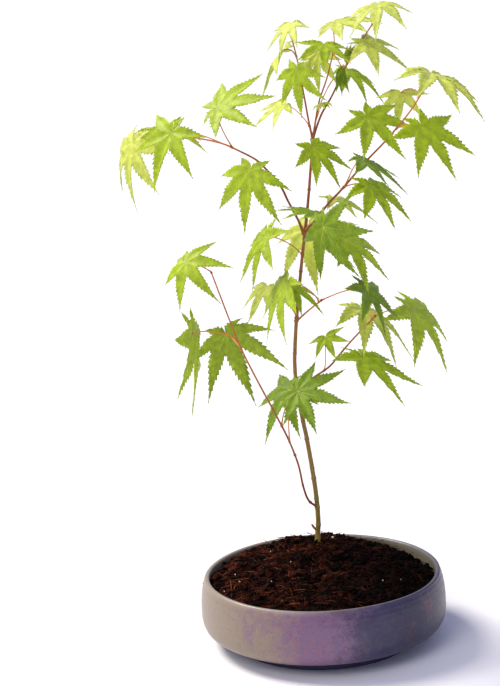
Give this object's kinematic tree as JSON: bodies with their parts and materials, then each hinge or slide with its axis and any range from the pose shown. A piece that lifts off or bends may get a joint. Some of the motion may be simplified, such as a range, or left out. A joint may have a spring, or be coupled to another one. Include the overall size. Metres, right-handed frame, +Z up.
{
  "type": "potted japanese maple",
  "caption": "Young Japanese maple with slender arching boughs and deeply lobed leaves, in a shallow round glazed stoneware pot.",
  "frame": {"origin": "centre of the pot's flat underside", "axes": "+Z up the stem; +X to the right and -Y to the front, the side from which the lowest bough goes left"},
  "size_m": [0.2994, 0.258, 0.5122],
  "materials": {
    "glazed_stoneware": "satin",
    "potting_soil": "rough",
    "maple_bark": "satin",
    "maple_leaf": "satin"
  },
  "bodies": {
    "root": {"pot_base": "glazed_stoneware", "pot_wall_right": "glazed_stoneware", "pot_wall_back": "glazed_stoneware", "pot_wall_left": "glazed_stoneware", "pot_wall_front": "glazed_stoneware", "soil": "potting_soil", "trunk": "maple_bark", "shoot_left": "maple_bark", "shoot_middle": "maple_bark", "shoot_right": "maple_bark", "bough_low_left": "maple_bark", "bough_left": "maple_bark", "bough_right": "maple_bark", "bough_small_right": "maple_bark", "bough_low_right": "maple_bark", "leaf_crest_right": "maple_leaf", "leaf_crest_left": "maple_leaf", "leaf_crest_back": "maple_leaf", "leaf_crest_front": "maple_leaf", "leaf_crest_inner": "maple_leaf", "leaf_upper_right": "maple_leaf", "leaf_upper_left": "maple_leaf", "leaf_upper_left_back": "maple_leaf", "leaf_upper_left_low": "maple_leaf", "leaf_upper_middle": "maple_leaf", "leaf_fork": "maple_leaf", "leaf_right_tip": "maple_leaf", "leaf_right_tip_back": "maple_leaf", "leaf_right_high": "maple_leaf", "leaf_right_outer": "maple_leaf", "leaf_right_edge": "maple_leaf", "leaf_right_middle": "maple_leaf", "leaf_right_inner": "maple_leaf", "leaf_left_tip": "maple_leaf", "leaf_left_tip_back": "maple_leaf", "leaf_left_outer": "maple_leaf", "leaf_left_high": "maple_leaf", "leaf_left_hanging": "maple_leaf", "leaf_stem_left": "maple_leaf", "leaf_stem_back": "maple_leaf", "leaf_stem_right": "maple_leaf", "leaf_stem_front": "maple_leaf", "leaf_stem_right_back": "maple_leaf", "leaf_inner_low": "maple_leaf", "leaf_inner_back": "maple_leaf", "leaf_inner_hanging": "maple_leaf", "leaf_small_right": "maple_leaf", "leaf_low_right_back": "maple_leaf", "leaf_low_right_tip": "maple_leaf", "leaf_low_right_front": "maple_leaf", "leaf_low_right_small": "maple_leaf", "leaf_low_left_tip": "maple_leaf", "leaf_low_left_edge": "maple_leaf", "leaf_low_left_front": "maple_leaf", "leaf_low_front_left": "maple_leaf", "leaf_low_front_right": "maple_leaf"}
  },
  "joints": []
}
